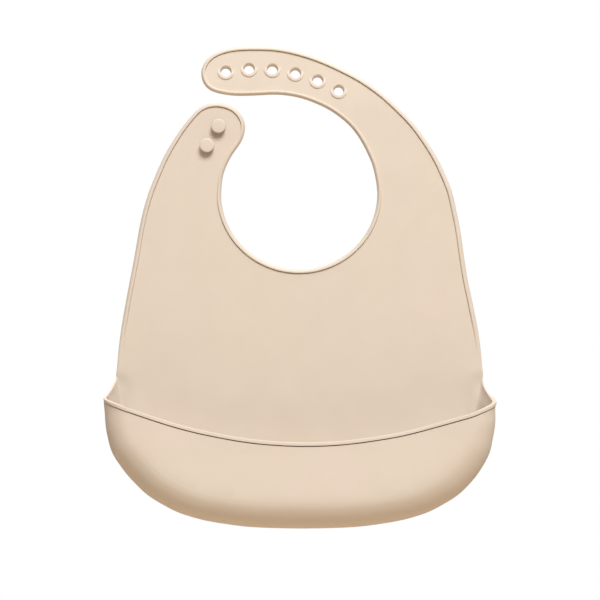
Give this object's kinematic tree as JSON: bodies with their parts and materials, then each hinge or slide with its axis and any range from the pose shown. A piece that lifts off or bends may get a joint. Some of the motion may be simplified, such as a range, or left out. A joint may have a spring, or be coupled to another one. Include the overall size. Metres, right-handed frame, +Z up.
{
  "type": "silicone bib",
  "caption": "Soft apron with a raised edge bead, a curved food-catching pocket, a holed neck strap and a studded tab that fastens it.",
  "frame": {"origin": "centre of the neck opening, in the middle of the sheet's thickness", "axes": "+Z up the bib from the pocket to the strap, +Y towards the wearer, -Y is the front that the pocket opens on, +X to the side the strap grows from"},
  "size_m": [0.2304, 0.0398, 0.2865],
  "materials": {
    "silicone": "satin"
  },
  "bodies": {
    "chest": {"chest_panel": "silicone", "neck_rim": "silicone", "chest_rim_left": "silicone", "chest_rim_right": "silicone"},
    "strap_root": {"strap_root": "silicone"},
    "strap_lower_middle": {"strap_lower_middle": "silicone", "eyelet_collar_6": "silicone", "eyelet_collar_5": "silicone"},
    "strap_upper_middle": {"strap_upper_middle": "silicone", "eyelet_collar_4": "silicone", "eyelet_collar_3": "silicone"},
    "strap_tip": {"strap_tip": "silicone", "eyelet_collar_2": "silicone", "eyelet_collar_1": "silicone"},
    "tab_root": {"tab_root": "silicone"},
    "tab_tip": {"tab_tip": "silicone", "stud_upper": "silicone", "stud_lower": "silicone"},
    "lap": {"lap_panel": "silicone"},
    "pocket": {"pocket_wall_left": "silicone", "pocket_wall_bottom": "silicone", "pocket_wall_right": "silicone", "pocket_front_wall": "silicone", "pocket_lip": "silicone", "lip_ear_left": "silicone", "lip_ear_right": "silicone"}
  },
  "joints": [
    {"name": "strap_curl_1", "type": "hinge", "parent": "chest", "child": "strap_root", "pos_m": [0.0499, -0.0008, 0.03777], "axis": [-0.7902, 0, -0.6129], "range_deg": [-40, 40], "stiffness_Nm_per_rad": 0.06},
    {"name": "strap_curl_2", "type": "hinge", "parent": "strap_root", "child": "strap_lower_middle", "pos_m": [0.02841, -0.0008, 0.05535], "axis": [-0.5664, 0, -0.8241], "range_deg": [-40, 40], "stiffness_Nm_per_rad": 0.06},
    {"name": "strap_curl_3", "type": "hinge", "parent": "strap_lower_middle", "child": "strap_upper_middle", "pos_m": [0.00372, -0.0008, 0.0672], "axis": [-0.289, 0, -0.9573], "range_deg": [-40, 40], "stiffness_Nm_per_rad": 0.06},
    {"name": "strap_curl_4", "type": "hinge", "parent": "strap_upper_middle", "child": "strap_tip", "pos_m": [-0.02341, -0.0008, 0.07149], "axis": [0.0157, 0, -0.9999], "range_deg": [-40, 40], "stiffness_Nm_per_rad": 0.06},
    {"name": "tab_curl_1", "type": "hinge", "parent": "chest", "child": "tab_root", "pos_m": [-0.06962, -0.0008, -0.00732], "axis": [-0.9945, 0, -0.1045], "range_deg": [-30, 30], "stiffness_Nm_per_rad": 0.06},
    {"name": "tab_curl_2", "type": "hinge", "parent": "tab_root", "child": "tab_tip", "pos_m": [-0.06248, -0.0008, 0.01792], "axis": [-0.9613, 0, 0.2756], "range_deg": [-30, 30], "stiffness_Nm_per_rad": 0.06},
    {"name": "waist_fold", "type": "hinge", "parent": "chest", "child": "lap", "pos_m": [0, 0, -0.088], "axis": [-1, 0, 0], "range_deg": [-25, 80], "stiffness_Nm_per_rad": 0.3},
    {"name": "pocket_open", "type": "hinge", "parent": "lap", "child": "pocket", "pos_m": [0, 0, -0.199], "axis": [1, 0, 0], "range_deg": [-8, 20], "stiffness_Nm_per_rad": 0.6}
  ],
  "couplings": [
    {"joint": "strap_curl_2", "follows": "strap_curl_1", "ratio": 1},
    {"joint": "strap_curl_3", "follows": "strap_curl_1", "ratio": 1},
    {"joint": "strap_curl_4", "follows": "strap_curl_1", "ratio": 1},
    {"joint": "tab_curl_2", "follows": "tab_curl_1", "ratio": 1}
  ]
}
